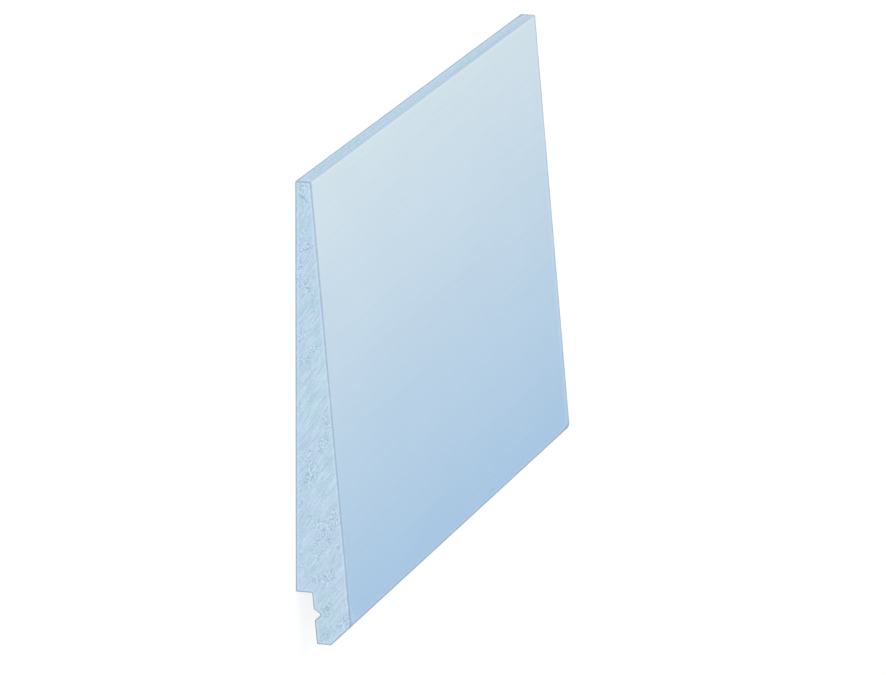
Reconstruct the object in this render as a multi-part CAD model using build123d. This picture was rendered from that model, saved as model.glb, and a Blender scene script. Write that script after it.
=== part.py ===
from build123d import *

import math
import os

# Chamfered cladding board: a bevel-backed weatherboard with a lap rebate, in millimetres.
# The board lies on its back. X runs along its length, +Y across its width towards the thin edge, and
# +Z out through the weather face. The origin is on the back face, under the middle of the board.

# Overall sizes of the piece
board_length = 300.0
board_width = 180.0

# Taper of the section: the thin edge is the upper edge on a wall, and the butt is the lower one
thin_edge_thickness = 6.2
butt_thickness = 22.0  # back to the sharp corner where the weather face meets the drip chamfer

# Drip chamfer along the lower edge of the weather face, at 45 degrees to the back
drip_chamfer = 8.0
arris_radius = 3.0  # rounds the corner between weather face and chamfer, so that paint holds there

# Lap rebate in the back of the butt, which fits over the thin edge of the next board down
rebate_height = 20.0
lap_clearance = 0.3

# Anti-capillary groove, a V cut square into the lip of the rebate
groove_height = 11.5  # butt edge to the middle of the groove's mouth
groove_width = 4.5
groove_depth = 2.7

# The weather face rises from the thin edge to the butt by this much for each millimetre of width
taper = (butt_thickness - thin_edge_thickness) / (board_width - drip_chamfer)
taper_angle = math.atan(taper)
rebate_depth = thin_edge_thickness + lap_clearance

# Edges of the section, and the shoulder of its rebate, as Y
butt_edge = -board_width / 2
thin_edge = board_width / 2
shoulder = butt_edge + rebate_height


def lip_point(above_butt, into_lip=0.0):
    """A point on the lip's inner face, which is parallel to the weather face, or square into the lip."""
    y = butt_edge + above_butt
    z = rebate_depth + taper * (shoulder - y)
    return (y + into_lip * math.sin(taper_angle), z + into_lip * math.cos(taper_angle))


def groove_point(along_lip, into_lip=0.0):
    """A corner of the groove, measured along the lip from the groove's middle and square into the lip."""
    return lip_point(groove_height + along_lip * math.cos(taper_angle), into_lip)


def board_section():
    """The machined section, as a face in the YZ plane."""
    weather_arris = (butt_edge + drip_chamfer, butt_thickness)
    outline = [
        (thin_edge, 0),
        (thin_edge, thin_edge_thickness),
        weather_arris,
        (butt_edge, butt_thickness - drip_chamfer),
        lip_point(0),
        groove_point(-groove_width / 2),
        groove_point(0, groove_depth),
        groove_point(groove_width / 2),
        lip_point(rebate_height),
        (shoulder, 0),
    ]
    with BuildSketch(Plane.YZ) as section:
        with BuildLine():
            Polyline(*outline, close=True)
        make_face()
        arris_corner = section.vertices().sort_by_distance(weather_arris)[0]
        fillet(arris_corner, arris_radius)
    return section.sketch


def cladding_board():
    """The section run along the whole length, sawn square at both ends."""
    return extrude(board_section(), amount=board_length / 2, both=True)


board = cladding_board()
os.makedirs("parts", exist_ok=True)
export_step(board, "parts/cladding_board.step")
size = board.bounding_box().size
print(f"cladding board {size.X:.1f} x {size.Y:.1f} x {size.Z:.1f} mm, {board.volume / 1000:.1f} cm3")
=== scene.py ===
# %% [markdown]
# # A chamfered cladding board
# The real board is one piece of timber. A moulding machine planes its whole section in one pass:
# a weather face that tapers up to a thin edge, a chamfer that sheds drips, and a rebate with a
# groove that laps over the board below. It is then sawn to length and primed pale blue. The
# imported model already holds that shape, so this lesson measures it, eases its arrises, cuts its
# ends as a saw would, paints it, and stands a camera in front of it.

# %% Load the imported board
import math

import bmesh
import bpy
import numpy as np
from mathutils import Matrix, Vector
from mathutils.geometry import delaunay_2d_cdt


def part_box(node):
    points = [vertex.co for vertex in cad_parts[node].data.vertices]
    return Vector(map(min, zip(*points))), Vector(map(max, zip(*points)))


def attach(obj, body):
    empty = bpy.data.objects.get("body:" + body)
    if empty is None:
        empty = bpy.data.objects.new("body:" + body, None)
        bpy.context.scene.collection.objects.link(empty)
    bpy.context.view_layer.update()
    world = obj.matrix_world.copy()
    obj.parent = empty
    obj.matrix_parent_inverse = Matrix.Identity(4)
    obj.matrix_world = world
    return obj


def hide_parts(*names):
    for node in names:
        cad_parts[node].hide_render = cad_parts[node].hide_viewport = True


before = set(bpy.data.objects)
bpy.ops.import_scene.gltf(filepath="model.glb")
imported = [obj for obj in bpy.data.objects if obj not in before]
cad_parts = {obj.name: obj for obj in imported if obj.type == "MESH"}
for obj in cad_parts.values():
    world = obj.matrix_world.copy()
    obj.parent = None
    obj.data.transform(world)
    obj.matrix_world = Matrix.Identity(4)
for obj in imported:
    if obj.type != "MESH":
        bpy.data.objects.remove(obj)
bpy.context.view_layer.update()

MM = 0.001
BOARD_NODE = "cladding_board"
board_low, board_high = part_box(BOARD_NODE)
board_length, board_width, board_height = board_high - board_low
print(f"packed board: {board_length / MM:.1f} x {board_width / MM:.1f} x {board_height / MM:.2f} mm")

# %% [markdown]
# ## The camera
# The picture shows the board upright, with its thin edge at the top. Here it lies on its back, so
# the camera is turned on its side instead, until the board's +Y points up in the picture. A
# camera can be placed by eye, but this one was worked out: its place and lens are those at which
# the board's corners fall where the picture has them. It stands more than three metres away,
# because the picture has hardly any perspective.

# %% Stand the camera
picture_width_px = 886
focal_length_px = 8437
camera_place = Vector((-3.0665, 0.838, 0.9361))
camera_aim = Vector((0.0, -0.0073, 0.0127))
camera_roll = math.radians(0.187)
board_upright = Vector((0, 1, 0))

camera_data = bpy.data.cameras.new("camera")
camera_data.lens = camera_data.sensor_width * focal_length_px / picture_width_px
camera = bpy.data.objects.new("camera", camera_data)
bpy.context.scene.collection.objects.link(camera)
bpy.context.scene.camera = camera

sight = (camera_aim - camera_place).normalized()
picture_up = (board_upright - sight * board_upright.dot(sight)).normalized()
picture_right = sight.cross(picture_up)
facing = Matrix((picture_right, picture_up, -sight)).transposed() @ Matrix.Rotation(camera_roll, 3, "Z")
camera.matrix_world = Matrix.Translation(camera_place) @ facing.to_4x4()
look_down = math.degrees(math.asin(-sight.z))
print(f"camera: {camera_data.lens:.0f} mm lens, looking down by {look_down:.1f} degrees")

# %% [markdown]
# ## Nodes in a few words
# Finishes and Geometry Nodes trees are both made of nodes, and many node types work in both.
# Setting up each node takes several lines, so these helpers add one node, feed its inputs from
# constants or from other nodes, and return what comes out of it. The rest of the lesson can then
# be read almost like arithmetic.

# %% Helpers for node trees
# A Mix node lists its sockets for numbers, vectors and colours together, under the same names
mix_share, mix_first_colour, mix_second_colour = 0, 6, 7
mix_colour_made = 2


def feed(tree, socket, value):
    """Links a socket to another node's output, or sets it to a constant."""
    if isinstance(value, bpy.types.NodeSocket):
        tree.links.new(value, socket)
    elif socket.type == "RGBA":
        socket.default_value = (*value, 1)
    else:
        socket.default_value = value


def add_node(tree, kind, inputs, **settings):
    """Adds one node, applies its settings and feeds its inputs, which are given by name or by number."""
    node = tree.nodes.new(kind)
    for name, value in settings.items():
        setattr(node, name, value)
    for key, value in inputs.items():
        feed(tree, node.inputs[key], value)
    return node


def sums(tree, operation, *values):
    """One step of arithmetic."""
    return add_node(tree, "ShaderNodeMath", dict(enumerate(values)), operation=operation).outputs[0]


def vectors(tree, operation, *values):
    """One step of arithmetic on vectors."""
    return add_node(tree, "ShaderNodeVectorMath", dict(enumerate(values)), operation=operation).outputs[0]


def scaled(tree, vector, factor):
    """A vector, times a number."""
    return add_node(tree, "ShaderNodeVectorMath", {0: vector, "Scale": factor}, operation="SCALE").outputs[0]


def along_x(tree, value):
    """A vector along the board."""
    return add_node(tree, "ShaderNodeCombineXYZ", {"X": value}).outputs[0]


def coordinate(tree, vector, axis):
    """One coordinate of a vector, by its letter."""
    return add_node(tree, "ShaderNodeSeparateXYZ", {"Vector": vector}).outputs[axis]


def spread(tree, value, from_low, from_high, to_low, to_high):
    """Stretches one range of numbers onto another, without going past its ends."""
    limits = {"From Min": from_low, "From Max": from_high, "To Min": to_low, "To Max": to_high}
    return add_node(tree, "ShaderNodeMapRange", {"Value": value, **limits}).outputs[0]


def blended(tree, share, first, second):
    """Goes from the first colour to the second as share goes from 0 to 1."""
    inputs = {mix_share: share, mix_first_colour: first, mix_second_colour: second}
    return add_node(tree, "ShaderNodeMix", inputs, data_type="RGBA").outputs[mix_colour_made]


print("helpers ready for finishes and for Geometry Nodes")

# %% [markdown]
# Paint, grain and torn fibres are all uneven, and noise is what makes them so. Blender's noise
# lies between 0 and 1 and seldom strays far from the middle. Each step of its detail lays a finer
# noise on top. Two more helpers turn it into what a finish needs: a swing to both sides of
# nothing, or a share that is none in some places and all in others.

# %% Helpers for noise
noise_low = 0.25
noise_high = 0.75
noise_detail = 2.0


def noise(tree, spot, blotch, detail=noise_detail):
    """Soft noise from 0 to 1, whose blotches have the given size along X, Y and Z in metres."""
    fineness = Vector([1 / size for size in blotch])
    counted = vectors(tree, "MULTIPLY", spot, fineness)
    inputs = {"Vector": counted, "Scale": 1.0, "Detail": detail}
    return add_node(tree, "ShaderNodeTexNoise", inputs).outputs[0]


def swing(tree, spot, blotch, detail=noise_detail):
    """Noise from -1 to 1."""
    return spread(tree, noise(tree, spot, blotch, detail), noise_low, noise_high, -1.0, 1.0)


def patchy(tree, spot, blotch, bare, full):
    """Noise as a share: 0 where it is at the bare level, 1 where it is at the full level."""
    return spread(tree, noise(tree, spot, blotch), bare, full, 0.0, 1.0)


print(f"noise: most of it lies from {noise_low} to {noise_high}")

# %% [markdown]
# ## The floor
# The picture's background is plain white. A brighter lamp could burn the floor out to white, but
# it would bleach the board too. So the floor is an ordinary pale surface for the light that
# bounces off it, and only where the camera or a reflection looks straight at it does it glow up
# to white. Part of it stays matt even then, which is what keeps the board's soft shadow. It lies
# a hair below the board, so that the two faces don't flicker.

# %% Lay the floor
floor_half_width = 8.0
floor_drop = 0.1 * MM
floor_albedo = 0.9
seen_matt_share = 0.16
seen_glow = 0.865


def looked_at(tree):
    """1 for rays from the camera, or from a mirror or glass in front of it, and 0 for light that bounces."""
    rays = tree.nodes.new("ShaderNodeLightPath").outputs
    straight = sums(tree, "MAXIMUM", rays["Is Camera Ray"], rays["Is Glossy Ray"])
    return sums(tree, "MAXIMUM", straight, rays["Is Transmission Ray"])


def white_floor_finish():
    """Pale matt floor that looks white, and still takes a shadow."""
    finish = bpy.data.materials.new("white_floor")
    finish.use_nodes = True
    tree = finish.node_tree
    tree.nodes.clear()
    plain = add_node(tree, "ShaderNodeBsdfDiffuse", {"Color": (floor_albedo,) * 3}).outputs[0]
    matt = add_node(tree, "ShaderNodeBsdfDiffuse", {"Color": (seen_matt_share,) * 3}).outputs[0]
    glow = add_node(tree, "ShaderNodeEmission", {"Strength": seen_glow}).outputs[0]
    seen = add_node(tree, "ShaderNodeAddShader", {0: matt, 1: glow}).outputs[0]
    surface = add_node(tree, "ShaderNodeMixShader", {0: looked_at(tree), 1: plain, 2: seen}).outputs[0]
    add_node(tree, "ShaderNodeOutputMaterial", {"Surface": surface})
    return finish


floor_mesh = bpy.data.meshes.new("floor")
floor_corners = [(-1, -1), (1, -1), (1, 1), (-1, 1)]
floor_places = [(x * floor_half_width, y * floor_half_width, -floor_drop) for x, y in floor_corners]
floor_mesh.from_pydata(floor_places, [], [range(len(floor_corners))])
floor_mesh.materials.append(white_floor_finish())
floor = bpy.data.objects.new("floor", floor_mesh)
bpy.context.scene.collection.objects.link(floor)
print(f"floor: {2 * floor_half_width:.0f} m square, {floor_drop / MM:.1f} mm below the board")

# %% [markdown]
# ## The light
# In the picture every side of the board is about equally bright. That is the light inside a white
# tent: most of it comes from all round, and one large soft lamp gives it a direction. The tent is
# the world's own colour. The lamp is an area light up on the side of the thin edge and the near
# end, far enough away to light the whole length alike. Together with the floor they light each
# side that shows about as much as it takes to make white paper white, so a colour renders as it
# is written.

# %% Light the tent
white = (1.0, 1.0, 1.0)
tent_strength = 0.75
tent_strength_seen = 1.0
lamp_place = Vector((-3.5, 2.9, 4.6))
lamp_size = 3.2
lamp_power = 144.0

scene_world = bpy.data.worlds.new("white_tent")
bpy.context.scene.world = scene_world
scene_world.use_nodes = True
tent = scene_world.node_tree
tent_brightness = spread(tent, looked_at(tent), 0.0, 1.0, tent_strength, tent_strength_seen)
tent_background = tent.nodes["Background"]
feed(tent, tent_background.inputs["Color"], white)
feed(tent, tent_background.inputs["Strength"], tent_brightness)

lamp_data = bpy.data.lights.new("soft_lamp", "AREA")
lamp_data.size = lamp_size
lamp_data.energy = lamp_power
lamp = bpy.data.objects.new("soft_lamp", lamp_data)
lamp.location = lamp_place
lamp.rotation_euler = (-lamp_place).to_track_quat("-Z", "Y").to_euler()
lamp.visible_camera = False
bpy.context.scene.collection.objects.link(lamp)
bpy.context.scene.view_settings.view_transform = "Standard"
print(f"light: tent at {tent_strength}, and a {lamp_size} m lamp of {lamp_power:.0f} W")

# %% [markdown]
# ## The moulded section
# The board has the same section all along, so the section is all there is to know. Its sizes
# could be typed in again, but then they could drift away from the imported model. Reading them is
# safer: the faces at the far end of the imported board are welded, and their rim is walked round
# corner by corner. Only a copy of the mesh is welded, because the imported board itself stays
# untouched. The lap arris, where the weather face meets the thin edge, is the corner furthest
# along Y, and the upper one where two are equally far.

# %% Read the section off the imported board
weld_distance = 0.001 * MM
micrometre_digits = 6


def section_corners(node):
    """The corners of the section as (y, z), anticlockwise as seen from beyond the far end."""
    copy = bmesh.new()
    copy.from_mesh(node.data)
    bmesh.ops.remove_doubles(copy, verts=copy.verts, dist=weld_distance)
    end = {face for face in copy.faces if all(board_high.x - v.co.x < weld_distance for v in face.verts)}
    rim = [edge for edge in copy.edges if sum(face in end for face in edge.link_faces) == 1]
    beside = {}
    for edge in rim:
        for vert in edge.verts:
            beside.setdefault(vert, []).append(edge.other_vert(vert))
    loop = [rim[0].verts[0], rim[0].verts[1]]
    while len(loop) < len(rim):
        loop.append(next(vert for vert in beside[loop[-1]] if vert != loop[-2]))
    corners = np.array([vert.co.yz for vert in loop])
    copy.free()
    ahead = np.roll(corners, -1, axis=0)
    twice_area = np.sum(corners[:, 0] * ahead[:, 1] - ahead[:, 0] * corners[:, 1])
    return corners if twice_area > 0 else corners[::-1]


corners = section_corners(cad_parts[BOARD_NODE])
lap_arris = max(range(len(corners)), key=lambda i: tuple(corners[i].round(micrometre_digits)))
print(f"section: {len(corners)} corners, lap arris at y {corners[lap_arris][0] / MM:.1f} mm")

# %% [markdown]
# ## Eased arrises
# No timber arris is knife sharp. The long ones are rubbed down before priming, and paint still
# pulls away from them, so a thin dark line shows along each. A Bevel modifier could round the
# edges, but it wouldn't know which of them show such a line. So each sharp corner of the section
# becomes a small arc here, and every point of the outline knows which way is outwards and what
# kind of place it is on. The round above the drip chamfer is worn only where it leans towards the
# butt. The lap arris shows no dark line, so it is a kind of its own.

# %% Ease one corner of the section
easing = 0.4 * MM
easing_steps = 4
sharp_turn = math.radians(20)
worn_lean = math.sin(math.radians(15))


def unit(vector):
    """The same direction, one long."""
    return vector / np.hypot(*vector)


def outward_of(direction):
    """Outward from an edge that runs in this direction round the section."""
    return np.array([direction[1], -direction[0]])


def turned(vector, angle):
    """A direction turned anticlockwise."""
    along, across = math.cos(angle), math.sin(angle)
    return np.array([along * vector[0] - across * vector[1], across * vector[0] + along * vector[1]])


def eased_corner(index):
    """The outline's points round one corner, as (place, outward, kind)."""
    corner = corners[index]
    arriving = unit(corner - corners[index - 1])
    leaving = unit(corners[(index + 1) % len(corners)] - corner)
    turn = math.atan2(arriving[0] * leaving[1] - arriving[1] * leaving[0], arriving @ leaving)
    if abs(turn) < sharp_turn:
        outward = unit(outward_of(arriving) + outward_of(leaving))
        return [(corner, outward, "arris" if outward[0] < -worn_lean else "round")]
    kind = "arris" if turn > 0 else "nook"
    if index == lap_arris:
        kind = "lap"
    side = math.copysign(1, turn)
    start = corner - arriving * easing * math.tan(abs(turn) / 2)
    centre = start - side * easing * outward_of(arriving)
    ways = [turned(outward_of(arriving), turn * step / easing_steps) for step in range(easing_steps + 1)]
    return [(centre + side * easing * way, way, kind) for way in ways]


print(f"lap arris: {len(eased_corner(lap_arris))} points on a round of {easing / MM:.1f} mm")

# %% [markdown]
# Between two eased corners the outline is straight, and two points would draw it. But the ends of
# the board will be filled with small faces, and those need close points on their rim. Smooth
# shading also needs a narrow strip beside each arris, so that the rounding doesn't spread over
# the flat. So one guard point stands just beside each corner, and the others are evenly spaced
# between the guards.

# %% Join the corners into an outline
guard_width = 0.25 * MM
point_spacing = 0.36 * MM


def straight_run(start, end):
    """The points between two eased corners: a guard beside each, and the rest evenly spaced."""
    length = np.hypot(*(end[0] - start[0]))
    if length < 2 * point_spacing:
        return []
    direction = (end[0] - start[0]) / length
    spans = max(1, round((length - 2 * guard_width) / point_spacing))
    distances = np.linspace(guard_width, length - guard_width, spans + 1)
    return [(start[0] + direction * distance, outward_of(direction), "flat") for distance in distances]


def eased_outline():
    """The whole outline with its arrises eased: places, outward directions and kinds."""
    rounded = [eased_corner(i) for i in range(len(corners))]
    points = []
    for this, following in zip(rounded, rounded[1:] + rounded[:1]):
        points += this + straight_run(this[-1], following[0])
    return [np.array(column) for column in zip(*points)]


outline, outwards, rim_kind = eased_outline()
print(f"outline: {len(outline)} points, {np.sum(rim_kind == 'arris')} of them on worn arrises")

# %% [markdown]
# A worn line has a width, and so has the pale bead beside it. Painting them on whole faces would
# tie them to the mesh. Instead each point stores how far it is from the nearest worn arris, and
# from the lap arris, and the finishes below turn those distances into lines. Distances run along
# the outline, round its corners. The long arrises are rubbed a little beyond their rounding, so
# the distance from them starts to count only past that.

# %% Measure the distance from each arris
rubbed_width = 0.2 * MM


def gap_along(kind):
    """How far each point lies from the nearest one of a kind, measured along the outline."""
    steps = np.hypot(*(np.roll(outline, -1, axis=0) - outline).T)
    travelled = np.cumsum(steps) - steps
    apart = np.abs(travelled[:, None] - travelled[rim_kind == kind])
    return np.minimum(apart, steps.sum() - apart).min(axis=1)


rim_gap = np.maximum(gap_along("arris") - rubbed_width, 0)
lap_gap = gap_along("lap")
print(f"widest distance from a worn arris: {rim_gap.max() / MM:.0f} mm")

# %% [markdown]
# ## The sawn end, as a flat sheet
# A saw leaves fine scores and torn fibres across the end, so the end needs many small faces that
# can be pushed in and out. Filling the outline with one large face would leave nothing to push,
# and a square grid wouldn't follow the groove and the rebate. A Delaunay triangulation takes any
# points: here the outline, a guard ring just inside it, and a lattice of points over the rest.
# Two helpers come first. One says how far inside a loop each point lies, and the other lays the
# lattice.

# %% Helpers for filling an outline
row_height = point_spacing * math.sqrt(3) / 2


def clearances(points, loop):
    """How far each point lies inside a closed loop. Points outside it come out negative."""
    nearest = np.full(len(points), np.inf)
    inside = np.zeros(len(points), bool)
    for start, end in zip(loop, np.roll(loop, -1, axis=0)):
        edge = end - start
        share = np.clip((points - start) @ edge / (edge @ edge), 0, 1)
        nearest = np.minimum(nearest, np.linalg.norm(points - start - share[:, None] * edge, axis=1))
        crosses = (start[1] > points[:, 1]) != (end[1] > points[:, 1])
        if edge[1] != 0:
            inside ^= crosses & (points[:, 0] < start[0] + edge[0] * (points[:, 1] - start[1]) / edge[1])
    return np.where(inside, nearest, -nearest)


def lattice(low, high):
    """Points on a triangular lattice over a box."""
    rows = []
    for number, z in enumerate(np.arange(low[1], high[1], row_height)):
        ys = np.arange(low[0] + (number % 2) * point_spacing / 2, high[0], point_spacing)
        rows.append(np.column_stack([ys, np.full(len(ys), z)]))
    return np.concatenate(rows)


print(f"lattice: points {point_spacing / MM:.2f} mm apart, in rows {row_height / MM:.2f} mm apart")

# %% [markdown]
# The saw leaves a sharp arris too, and it is eased less than the long ones. So the rim of the
# sheet lies a little inside the outline, and the long faces will round over to meet it. Ring and
# lattice points that would crowd the rim are left out. The sheet also carries what later steps
# ask of it: which way is outwards at each rim point, and how far each point is from the arrises.

# %% Fill the outline with small triangles
end_easing = 0.2 * MM
# The kind of triangulation that keeps only what lies inside the loop
inside_only = 1
same_point_distance = weld_distance / 100


def store(mesh, name, values):
    """Stores one number, or one vector, for each point of a mesh."""
    kind, field = ("FLOAT", "value") if values.ndim == 1 else ("FLOAT_VECTOR", "vector")
    mesh.attributes.new(name, kind, "POINT").data.foreach_set(field, values.astype(np.float32).ravel())


def sawn_sheet():
    """The end face as a mesh in the plane x = 0."""
    rim = outline - end_easing * outwards
    ring = (rim - guard_width * outwards)[(rim_kind == "flat") | (rim_kind == "round")]
    ring = ring[clearances(ring, rim) > guard_width / 2]
    fill = lattice(rim.min(axis=0), rim.max(axis=0))
    fill = fill[clearances(fill, rim) > guard_width + point_spacing / 2]
    points = [Vector(place) for place in np.concatenate([rim, ring, fill])]
    rim_loop = [list(range(len(rim)))]
    filled = delaunay_2d_cdt(points, [], rim_loop, inside_only, same_point_distance)
    places, _, triangles, origins, _, _ = filled
    mesh = bpy.data.meshes.new("sawn_end_sheet")
    mesh.from_pydata([(0, y, z) for y, z in places], [], triangles)

    # Each point of the triangulation says which given point it came from, and the rim came first
    source = np.array([origin[0] for origin in origins])
    on_rim = source < len(rim)
    source = np.where(on_rim, source, 0)
    store(mesh, "outward", np.insert(outwards, 0, 0, axis=1)[source] * on_rim[:, None])
    store(mesh, "rim_gap", rim_gap[source] * on_rim)
    store(mesh, "lap_gap", lap_gap[source] * on_rim)
    store(mesh, "wear_gap", np.where(on_rim, 0, clearances(np.array(places), rim)))
    return mesh


sheet_mesh = sawn_sheet()
print(f"sawn end: {len(sheet_mesh.polygons)} triangles about {point_spacing / MM:.2f} mm across")

# %% [markdown]
# ## The grain of the sawn ends
# The picture's end is mottled all over, with slanting streaks left by the saw in some places, and
# clusters of small light and dark flecks in others, where fibres tore out. One pattern serves
# twice. The Geometry Nodes tree below pushes the surface in by it, and the finish colours the
# same spots, so a dark fleck is also a pit, and its darkness is partly painted shade in that pit.
# Noise with stretched blotches makes each part of it, after the position is turned so that
# streaks run along one axis. One slow noise deals out the places: flecks where it is high, and
# streaks where it is low. Mottle and streaks are smooth, so their noise has no finer detail. The
# dark flecks are painted darker than the light ones are painted lighter, partly as painted shade
# in the pits, so the light flecks don't go quite as far as the dark ones. The seed slides the
# pattern along the board, which gives each number other flecks.

# %% A pattern that both trees can use
streak_angle = math.radians(57)
grain_seed = 13
seed_shift = 1.7
plain_detail = 0.0
mottle_size = (6 * MM, 0.45 * MM, 0.8 * MM)
streak_size = (30 * MM, 0.58 * MM, 6 * MM)
fleck_size = (4 * MM, 0.42 * MM, 0.7 * MM)
cluster_size = (20 * MM, 5 * MM, 8 * MM)
fleck_bare, fleck_full = 0.51, 0.60
fleck_lift = 0.8
streak_bare, streak_full = 0.58, 0.46


def torn_grain(tree, spot, seed):
    """Mottle, streaks and flecks at a position, each from -1 to 1."""
    shifted = vectors(tree, "ADD", spot, along_x(tree, sums(tree, "MULTIPLY", seed, seed_shift)))
    turn = {"Vector": shifted, "Angle": streak_angle}
    slanted = add_node(tree, "ShaderNodeVectorRotate", turn, rotation_type="X_AXIS").outputs[0]
    scored = patchy(tree, slanted, cluster_size, streak_bare, streak_full)
    torn = patchy(tree, slanted, cluster_size, fleck_bare, fleck_full)
    streaks = sums(tree, "MULTIPLY", swing(tree, slanted, streak_size, plain_detail), scored)
    fibres = spread(tree, noise(tree, slanted, fleck_size), noise_low, noise_high, -1.0, fleck_lift)
    flecks = sums(tree, "MULTIPLY", fibres, torn)
    return swing(tree, slanted, mottle_size, plain_detail), streaks, flecks


slant = math.degrees(streak_angle)
print(f"grain: streaks at {slant:.0f} degrees, flecks about {fleck_size[1] / MM:.2f} mm wide")

# %% [markdown]
# ## Paint, worn arrises and beads
# All three finishes are the same matt primer over timber, so they share one ending. It takes the
# distance from the nearest worn arris off the mesh, paints a dark line where that is small, and a
# faint pale bead beside the line, as a painted highlight along the arris. A little noise on the
# distance makes the line ragged, as wear is. Each finish gives its line a tone of its own.

# %% Paint the worn arrises
worn_cover = 0.8
worn_reach = 0.42 * MM
# Painted highlight: the pale bead beside each worn line
painted_bead_highlight_tone = (0.60, 0.77, 0.93)
bead_fades_from = 0.9 * MM
bead_reach = 1.35 * MM
ragged_size = (3 * MM, 3 * MM, 3 * MM)
raggedness = 0.12 * MM


def stored_distance(tree, name):
    """A distance that is stored on the mesh."""
    return add_node(tree, "ShaderNodeAttribute", {}, attribute_name=name).outputs["Fac"]


def faded(tree, distance, near, far, cover):
    """A cover that fades to nothing as the distance goes from near to far."""
    return spread(tree, distance, near, far, cover, 0.0)


def finish_arrises(tree, spot, colour, bead_cover, line_tone):
    """The colour with a pale bead of painted highlight and a ragged dark line painted along the worn
    arrises.
    """
    distance = stored_distance(tree, "wear_gap")
    # Painted highlight beside the worn line
    bead = faded(tree, distance, bead_fades_from, bead_reach, bead_cover)
    ragged = sums(tree, "MULTIPLY_ADD", swing(tree, spot, ragged_size), raggedness, distance)
    line = faded(tree, ragged, worn_reach / 2, worn_reach, worn_cover)
    return blended(tree, line, blended(tree, bead, colour, painted_bead_highlight_tone), line_tone)


print(f"worn lines reach about {worn_reach / MM:.2f} mm, and beads {bead_reach / MM:.2f} mm")

# %% [markdown]
# The finishes also start alike, from a primer shader with little shine, and they vary in the same
# three ways: in tone, in gloss and in fine relief. A mark in the picture changes red, green and
# blue by the same step. On pale blue paint, where red is lowest, that is a larger share of the
# red than of the blue, so the shades are tinted.

# %% What all the finishes share
primer_roughness = 0.6
roughness_swing = 0.06
primer_specular = 0.1
shade_tint = Vector((1.3, 1.0, 0.82))
unchanged = Vector((1, 1, 1))


def start_finish(name):
    """A new finish with only a primer shader in it, and the position on the board."""
    finish = bpy.data.materials.new(name)
    finish.use_nodes = True
    tree = finish.node_tree
    shader = tree.nodes["Principled BSDF"]
    shader.inputs["Specular IOR Level"].default_value = primer_specular
    return finish, tree, shader, tree.nodes.new("ShaderNodeTexCoord").outputs["Object"]


def shaded(tree, colour, *shades):
    """The colour made lighter and darker by several shades, each a noise from -1 to 1 and its strength."""
    for share, strength in shades:
        factor = vectors(tree, "MULTIPLY_ADD", share, shade_tint * strength, unchanged)
        colour = vectors(tree, "MULTIPLY", colour, factor)
    return colour


def roughened(tree, shader, share, middle):
    """Gloss that varies a little with a noise from -1 to 1."""
    feed(tree, shader.inputs["Roughness"], sums(tree, "MULTIPLY_ADD", share, roughness_swing, middle))


def relief(tree, shader, height, depth):
    """Fine bumps, too small to be worth any geometry."""
    bump = add_node(tree, "ShaderNodeBump", {"Height": height, "Distance": depth, "Strength": 1.0})
    feed(tree, shader.inputs["Normal"], bump.outputs[0])


print(f"primer ready, with a roughness of about {primer_roughness}")

# %% [markdown]
# ## The weather face
# The face is planed smooth. Its colour goes evenly from a pale tone along the thin edge to a
# deeper blue at the butt, and nothing changes along the length: that is painted shade, lighter
# towards the thin edge and darker towards the butt. A gradient over the board's own Y gives that,
# and works from every side. The worn line pales with it, so it carries the same painted shade. The
# timber's long grain shows through only just: a faint stretched noise, in colour, gloss and bump. A
# thin pale line runs beside the lap arris, as a painted highlight along it.

# %% Paint the weather face
thin_edge_lit_tone = (0.633, 0.751, 0.823)
butt_shaded_tone = (0.362, 0.548, 0.759)
butt_worn_tone = (0.31, 0.42, 0.545)
thin_edge_worn_tone = (0.40, 0.48, 0.565)
long_grain_size = (160 * MM, 1.6 * MM, 1.6 * MM)
brush_size = (60 * MM, 0.5 * MM, 0.5 * MM)
cloud_size = (60 * MM, 40 * MM, 40 * MM)
weather_grain_shade = 0.012
cloud_shade = 0.012
brush_depth = 0.01 * MM
# Painted highlight: a thin pale line on the weather face beside the lap arris
painted_lap_highlight_tone = (0.68, 0.80, 0.93)
painted_lap_highlight_reach = 1.2 * MM
painted_lap_highlight_cover = 0.4
weather_bead_cover = 0.2


def weather_finish():
    """Smooth primer, with painted shade that deepens it from the thin edge to the butt."""
    finish, tree, shader, spot = start_finish("weather_face_primer")
    from_butt = spread(tree, coordinate(tree, spot, "Y"), board_low.y, board_high.y, 0.0, 1.0)
    # Painted shade: lighter towards the thin edge, darker towards the butt
    painted_shade_wash = blended(tree, from_butt, butt_shaded_tone, thin_edge_lit_tone)
    grain = swing(tree, spot, long_grain_size)
    clouds = swing(tree, spot, cloud_size)
    brushed = swing(tree, spot, brush_size)
    colour = shaded(tree, painted_shade_wash, (grain, weather_grain_shade), (clouds, cloud_shade))
    from_lap = stored_distance(tree, "lap_gap")
    # Painted highlight beside the lap arris
    painted_lap_highlight = faded(tree, from_lap, painted_lap_highlight_reach / 2, painted_lap_highlight_reach, painted_lap_highlight_cover)
    colour = blended(tree, painted_lap_highlight, colour, painted_lap_highlight_tone)
    # The worn line carries the same painted shade
    line_tone = blended(tree, from_butt, butt_worn_tone, thin_edge_worn_tone)
    colour = finish_arrises(tree, spot, colour, weather_bead_cover, line_tone)
    feed(tree, shader.inputs["Base Color"], colour)
    roughened(tree, shader, brushed, primer_roughness)
    relief(tree, shader, brushed, brush_depth)
    return finish


weather_primer = weather_finish()
print(f"{weather_primer.name}: {len(weather_primer.node_tree.nodes)} nodes")

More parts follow.
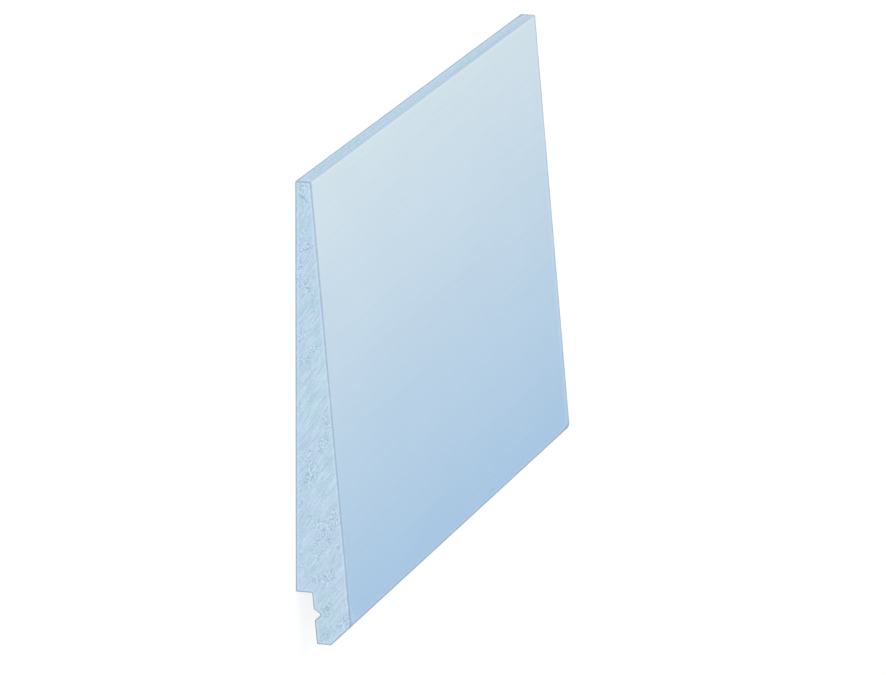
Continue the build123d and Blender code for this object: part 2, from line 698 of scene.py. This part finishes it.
# %% [markdown]
# ## The sawn ends
# End grain drinks the primer, so the ends look mottled and dry, and the coat leans to violet in
# some places and to green in others. The pattern made earlier then lightens and darkens it: the
# mottle softly, the streaks a little more, and the flecks the most. Towards the board's foot the
# dark line is deeper and greyer.

# %% Paint the sawn ends
end_violet = (0.527, 0.665, 0.812)
end_green = (0.506, 0.675, 0.786)
drift_bare, drift_full = 0.40, 0.60
end_drift_size = (20 * MM, 7 * MM, 7 * MM)
mottle_shade = 0.05
streak_shade = 0.085
fleck_shade = 0.4
end_bead_cover = 0.45
end_worn_tone = (0.325, 0.435, 0.58)
foot_worn_tone = (0.27, 0.365, 0.455)
foot_full_height = 16 * MM
foot_height = 22 * MM
end_roughness = 0.75


def thin_coat(tree, spot, drift_size, violet, green):
    """The plain coat, which drifts between two close blues."""
    return blended(tree, patchy(tree, spot, drift_size, drift_bare, drift_full), violet, green)


def end_finish():
    """Dry, mottled primer over end grain."""
    finish, tree, shader, spot = start_finish("sawn_end_primer")
    mottle, streaks, flecks = torn_grain(tree, spot, grain_seed)
    coat = thin_coat(tree, spot, end_drift_size, end_violet, end_green)
    # Dark streaks and flecks lie over the scores and pits, so their darkness is partly painted shade in
    # those hollows
    colour = shaded(tree, coat, (mottle, mottle_shade), (streaks, streak_shade), (flecks, fleck_shade))
    across = coordinate(tree, spot, "Y")
    # The worn line is darker and greyer towards the foot
    foot = faded(tree, across, board_low.y + foot_full_height, board_low.y + foot_height, 1.0)
    line_tone = blended(tree, foot, end_worn_tone, foot_worn_tone)
    colour = finish_arrises(tree, spot, colour, end_bead_cover, line_tone)
    feed(tree, shader.inputs["Base Color"], colour)
    roughened(tree, shader, flecks, end_roughness)
    return finish


end_primer = end_finish()
print(f"{end_primer.name}: {len(end_primer.node_tree.nodes)} nodes")

# %% [markdown]
# ## The back and the edges
# The thin edge, the back and the rebate are planed too, but they get only one plain coat. The
# long grain shows through it more than on the weather face, under a fine mottle. The coat drifts
# between violet and green as on the ends, a little further, in patches that are longer along the
# board than across it. A faint grey line is painted on the thin edge, just under the lap arris.
# The planer's knives leave fine ripples across the back, so the bump is a noise with short
# blotches along the board.

# %% Paint the back and the edges
edge_violet = (0.522, 0.658, 0.832)
edge_green = (0.482, 0.677, 0.784)
edge_drift_size = (12 * MM, 6 * MM, 6 * MM)
back_grain_shade = 0.06
edge_mottle_size = (2 * MM, 1.2 * MM, 0.8 * MM)
edge_mottle_shade = 0.15
# A darker grey line on the thin edge, just under the lap arris
lap_grey_line_tone = (0.48, 0.62, 0.715)
lap_grey_line_reach = 0.9 * MM
lap_grey_line_cover = 0.75
edge_bead_cover = 0.3
edge_worn_tone = (0.355, 0.46, 0.565)
ripple_size = (1.8 * MM, 60 * MM, 60 * MM)
ripple_depth = 0.015 * MM


def back_finish():
    """The plain coat over planed timber."""
    finish, tree, shader, spot = start_finish("back_primer")
    coat = thin_coat(tree, spot, edge_drift_size, edge_violet, edge_green)
    grain = swing(tree, spot, long_grain_size)
    mottle = swing(tree, spot, edge_mottle_size)
    ripples = swing(tree, spot, ripple_size)
    colour = shaded(tree, coat, (grain, back_grain_shade), (mottle, edge_mottle_shade))
    lap_grey_line = faded(tree, stored_distance(tree, "lap_gap"), lap_grey_line_reach / 2, lap_grey_line_reach, lap_grey_line_cover)
    colour = blended(tree, lap_grey_line, colour, lap_grey_line_tone)
    colour = finish_arrises(tree, spot, colour, edge_bead_cover, edge_worn_tone)
    feed(tree, shader.inputs["Base Color"], colour)
    roughened(tree, shader, ripples, primer_roughness)
    relief(tree, shader, ripples, ripple_depth)
    return finish


back_primer = back_finish()
print(f"{back_primer.name}: {len(back_primer.node_tree.nodes)} nodes")

# %% [markdown]
# ## Running the section along the board
# The board's rule is simple: one section, run along a straight line. Geometry Nodes state it
# directly. Curve to Mesh joins the sheet's rim into a long tube, station by station, but its own
# idea of which way is up isn't needed: every station's place and every rim point's place are
# stored as attributes first, and the tube's points are then put exactly where the two say.

# %% Inputs of the board's tree
board_inputs = {
    "Board Length": ("NodeSocketFloat", board_length),
    "End Easing": ("NodeSocketFloat", end_easing),
    "Easing Steps": ("NodeSocketInt", easing_steps),
    "Guard Width": ("NodeSocketFloat", guard_width),
    "Body Spans": ("NodeSocketInt", 20),
    "Near Fray": ("NodeSocketFloat", 1.5),
    "Far Fray": ("NodeSocketFloat", 4.0),
    "Score Depth": ("NodeSocketFloat", 0.10 * MM),
    "Pit Depth": ("NodeSocketFloat", 0.18 * MM),
    "Grain Seed": ("NodeSocketInt", grain_seed),
    "Weather Finish": ("NodeSocketMaterial", weather_primer),
    "End Finish": ("NodeSocketMaterial", end_primer),
    "Back Finish": ("NodeSocketMaterial", back_primer),
}


def named(tree, name, kind="FLOAT"):
    """A named attribute, as a field."""
    node = add_node(tree, "GeometryNodeInputNamedAttribute", {"Name": name}, data_type=kind)
    return node.outputs["Attribute"]


def stored(tree, geometry, name, value, kind="FLOAT", domain="POINT"):
    """The geometry with one more named attribute on it."""
    inputs = {"Geometry": geometry, "Name": name, "Value": value}
    settings = {"data_type": kind, "domain": domain}
    return add_node(tree, "GeometryNodeStoreNamedAttribute", inputs, **settings).outputs[0]


print(f"tree inputs: {', '.join(board_inputs)}")

# %% [markdown]
# The stations are points on a line that is only counted, never measured. Each one works out from
# its number how far it is from the nearer end: first round a quarter circle that eases the sawn
# arris, then one guard width, then in even steps along the body. A saw frays paint further along
# the grain than across it, and more at one end than at the other, so the distance from an end is
# divided by that end's fray before it counts as wear.

# %% Stations along the board
def stations(tree, given):
    """A chain of points, each with its place along the board, its rise off the rim and its wear distance."""
    steps, spans = given["Easing Steps"], given["Body Spans"]
    length, round_size, guard = given["Board Length"], given["End Easing"], given["Guard Width"]
    # At each end stand the points of the quarter circle, one more than its steps, and the guard
    at_each_end = sums(tree, "ADD", steps, 2.0)
    count = sums(tree, "MULTIPLY_ADD", at_each_end, 2.0, sums(tree, "SUBTRACT", spans, 1.0))
    line = add_node(tree, "GeometryNodeMeshLine", {"Count": count, "Offset": Vector((0, 0, 1))}).outputs[0]
    number = tree.nodes.new("GeometryNodeInputIndex").outputs[0]
    from_far = sums(tree, "SUBTRACT", sums(tree, "SUBTRACT", count, 1.0), number)
    from_end = sums(tree, "MINIMUM", number, from_far)

    round_share = sums(tree, "MINIMUM", sums(tree, "DIVIDE", from_end, steps), 1.0)
    angle = sums(tree, "MULTIPLY", round_share, math.pi / 2)
    past_round = sums(tree, "MAXIMUM", sums(tree, "SUBTRACT", from_end, steps), 0.0)
    past_guard = sums(tree, "MAXIMUM", sums(tree, "SUBTRACT", past_round, 1.0), 0.0)
    body = sums(tree, "MULTIPLY_ADD", sums(tree, "ADD", round_size, guard), -2.0, length)
    round_fall = sums(tree, "SUBTRACT", 1.0, sums(tree, "COSINE", angle))
    round_depth = sums(tree, "MULTIPLY", round_fall, round_size)
    guard_depth = sums(tree, "MULTIPLY_ADD", sums(tree, "MINIMUM", past_round, 1.0), guard, round_depth)
    depth = sums(tree, "MULTIPLY_ADD", past_guard, sums(tree, "DIVIDE", body, spans), guard_depth)

    side = sums(tree, "SIGN", sums(tree, "SUBTRACT", number, from_far))
    from_middle = sums(tree, "SUBTRACT", sums(tree, "MULTIPLY", length, 0.5), depth)
    line = stored(tree, line, "station", sums(tree, "MULTIPLY", side, from_middle))
    line = stored(tree, line, "rise", sums(tree, "MULTIPLY", sums(tree, "SINE", angle), round_size))
    fray = spread(tree, side, -1.0, 1.0, given["Near Fray"], given["Far Fray"])
    line = stored(tree, line, "end_gap", sums(tree, "DIVIDE", depth, fray))
    return add_node(tree, "GeometryNodeMeshToCurve", {"Mesh": line}).outputs[0]


print("stations ready: quarter circle, guard, body")

# %% [markdown]
# The rim of the sheet becomes a closed curve, the tube is made from the two, and a copy of the
# sheet closes each end. Merging by distance then welds the three into one watertight skin.

# %% Long faces and closed ends
def long_faces(tree, given, sheet):
    """The tube between the two ends."""
    faces_beside = tree.nodes.new("GeometryNodeInputMeshEdgeNeighbors").outputs[0]
    one_face, half_a_face = 1.0, 0.5
    on_rim = sums(tree, "COMPARE", faces_beside, one_face, half_a_face)
    position = tree.nodes.new("GeometryNodeInputPosition").outputs[0]
    sheet = stored(tree, sheet, "section", position, "FLOAT_VECTOR")
    rim = add_node(tree, "GeometryNodeMeshToCurve", {"Mesh": sheet, "Selection": on_rim}).outputs[0]
    curves = {"Curve": stations(tree, given), "Profile Curve": rim}
    tube = add_node(tree, "GeometryNodeCurveToMesh", curves).outputs[0]

    raised = scaled(tree, named(tree, "outward", "FLOAT_VECTOR"), named(tree, "rise"))
    place = vectors(tree, "ADD", named(tree, "section", "FLOAT_VECTOR"), raised)
    place = vectors(tree, "ADD", place, along_x(tree, named(tree, "station")))
    tube = add_node(tree, "GeometryNodeSetPosition", {"Geometry": tube, "Position": place}).outputs[0]
    nearest_gap = sums(tree, "MINIMUM", named(tree, "rim_gap"), named(tree, "end_gap"))
    return stored(tree, tube, "wear_gap", nearest_gap)


def closed_end(tree, given, sheet, side):
    """The sheet moved to one end, facing outwards."""
    offset = along_x(tree, sums(tree, "MULTIPLY", given["Board Length"], side / 2))
    end = add_node(tree, "GeometryNodeSetPosition", {"Geometry": sheet, "Offset": offset}).outputs[0]
    if side < 0:
        end = add_node(tree, "GeometryNodeFlipFaces", {"Mesh": end}).outputs[0]
    return stored(tree, end, "sawn", True, "BOOLEAN", "FACE")


print("long faces and closed ends ready")

# %% [markdown]
# The saw's scores and the torn pits are pushed into both ends, never out of them, so the board
# keeps its length. The darker a mark is, the deeper it goes. All of them start gently at the rim,
# which stays where it is.

# %% Score and pit the ends
def darkness(tree, marks):
    """How dark a mark is, from 0 to 1. A light one counts as 0."""
    return spread(tree, marks, -1.0, 0.0, 1.0, 0.0)


def sawn_relief(tree, given, board):
    """The board with its ends scored and pitted."""
    position = tree.nodes.new("GeometryNodeInputPosition").outputs[0]
    _, streaks, flecks = torn_grain(tree, position, given["Grain Seed"])
    scores = sums(tree, "MULTIPLY", darkness(tree, streaks), given["Score Depth"])
    pits = sums(tree, "MULTIPLY", darkness(tree, flecks), given["Pit Depth"])
    along = coordinate(tree, position, "X")
    nearly_end = sums(tree, "MULTIPLY_ADD", given["Board Length"], 0.5, -weld_distance)
    at_end = sums(tree, "GREATER_THAN", sums(tree, "ABSOLUTE", along), nearly_end)
    off_rim = spread(tree, named(tree, "wear_gap"), 0.0, point_spacing, 0.0, 1.0)
    depth = sums(tree, "MULTIPLY", sums(tree, "ADD", scores, pits), off_rim)
    inwards = sums(tree, "MULTIPLY", depth, sums(tree, "SIGN", along))
    moved = {"Geometry": board, "Selection": at_end, "Offset": scaled(tree, along_x(tree, inwards), -1.0)}
    return add_node(tree, "GeometryNodeSetPosition", moved).outputs[0]


print("relief ready for the sawn ends")

# %% [markdown]
# Last come the finishes: the ends by their mark, the weather face by which way its outline faces,
# and the plain coat everywhere else. The weather face looks up, and the round and the chamfer
# below it lean towards the butt. A direction between those two picks all three, and leaves most
# of the rounding of the lap arris to the thin edge. The whole tree then joins the steps in order.

# %% The whole tree
weather_way = Vector((0, -0.4, 0.9))
weather_match = 0.6


def finished(tree, given, board):
    """The board with a finish on every face."""
    outward = named(tree, "outward", "FLOAT_VECTOR")
    match = add_node(tree, "ShaderNodeVectorMath", {0: outward, 1: weather_way}, operation="DOT_PRODUCT")
    everywhere = True
    weather = sums(tree, "GREATER_THAN", match.outputs["Value"], weather_match)
    sawn = named(tree, "sawn", "BOOLEAN")
    for finish, where in (("Back Finish", everywhere), ("Weather Finish", weather), ("End Finish", sawn)):
        coat = {"Geometry": board, "Selection": where, "Material": given[finish]}
        board = add_node(tree, "GeometryNodeSetMaterial", coat).outputs[0]
    return board


def board_tree():
    """Geometry Nodes that run the sheet's section along the board, saw its ends and finish it."""
    tree = bpy.data.node_groups.new("run_the_section", "GeometryNodeTree")
    tree.interface.new_socket("Sawn End", in_out="INPUT", socket_type="NodeSocketGeometry")
    for name, (kind, _) in board_inputs.items():
        tree.interface.new_socket(name, in_out="INPUT", socket_type=kind)
    tree.interface.new_socket("Board", in_out="OUTPUT", socket_type="NodeSocketGeometry")
    given = tree.nodes.new("NodeGroupInput").outputs
    sheet = given["Sawn End"]

    joined = tree.nodes.new("GeometryNodeJoinGeometry")
    tree.links.new(long_faces(tree, given, sheet), joined.inputs[0])
    for side in (-1, 1):
        tree.links.new(closed_end(tree, given, sheet, side), joined.inputs[0])
    skin = {"Geometry": joined.outputs[0], "Distance": weld_distance}
    board = add_node(tree, "GeometryNodeMergeByDistance", skin).outputs[0]
    board = sawn_relief(tree, given, board)
    board = add_node(tree, "GeometryNodeSetShadeSmooth", {"Geometry": board}).outputs[0]
    board = add_node(tree, "GeometryNodeRealizeInstances", {"Geometry": board}).outputs[0]
    tree.links.new(finished(tree, given, board), tree.nodes.new("NodeGroupOutput").inputs[0])
    return tree


run_the_section = board_tree()
print(f"{run_the_section.name}: {len(run_the_section.nodes)} nodes")

# %% [markdown]
# ## The finished board
# The tree runs once as a modifier on the sheet. The result is then copied out as a plain mesh,
# because the model that leaves this file can't carry modifiers. The sheet has no finish of its
# own, which leaves an empty slot among the finishes, so empty slots are taken out.

# %% Run the tree and keep the mesh
def run_tree(mesh, tree, values):
    """A plain mesh of what a tree makes from another mesh."""
    blank = bpy.data.objects.new("blank", mesh)
    bpy.context.scene.collection.objects.link(blank)
    modifier = blank.modifiers.new("tree", "NODES")
    modifier.node_group = tree
    for socket in tree.interface.items_tree:
        if socket.in_out == "INPUT" and socket.name in values:
            modifier[socket.identifier] = values[socket.name][1]
    graph = bpy.context.evaluated_depsgraph_get()
    result = blank.evaluated_get(graph)
    made = bpy.data.meshes.new_from_object(result, preserve_all_data_layers=True, depsgraph=graph)
    blank.modifiers.remove(modifier)
    bpy.data.objects.remove(blank)
    for slot in reversed(range(len(made.materials))):
        if made.materials[slot] is None:
            made.materials.pop(index=slot)
    return made


board_mesh = run_tree(sheet_mesh, run_the_section, board_inputs)
print(f"tree made {len(board_mesh.vertices)} points")

# %% [markdown]
# The faces are turned outwards, in case the rim was walked the other way round, and what only the
# tree needed is taken off the mesh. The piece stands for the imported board, and moves with it.

# %% The board as a piece
CM3 = (10 * MM) ** 3


def turn_faces_out(mesh):
    """Makes every face point outwards, and prints the volume inside."""
    skin = bmesh.new()
    skin.from_mesh(mesh)
    bmesh.ops.recalc_face_normals(skin, faces=skin.faces)
    volume = skin.calc_volume(signed=True)
    loose = [edge for edge in skin.edges if not edge.is_manifold]
    skin.to_mesh(mesh)
    skin.free()
    print(f"board: {volume / CM3:.1f} cm3, {len(loose)} open edges")


turn_faces_out(board_mesh)
for spare in ("outward", "section", "station", "rise", "rim_gap", "end_gap", "sawn"):
    if spare in board_mesh.attributes:
        board_mesh.attributes.remove(board_mesh.attributes[spare])
board = bpy.data.objects.new("primed_cladding_board", board_mesh)
bpy.context.scene.collection.objects.link(board)
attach(board, "root")
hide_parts(BOARD_NODE)
triangles = sum(len(face.vertices) - 2 for face in board_mesh.polygons)
print(f"{board.name}: {triangles} triangles, finishes {[m.name for m in board_mesh.materials]}")
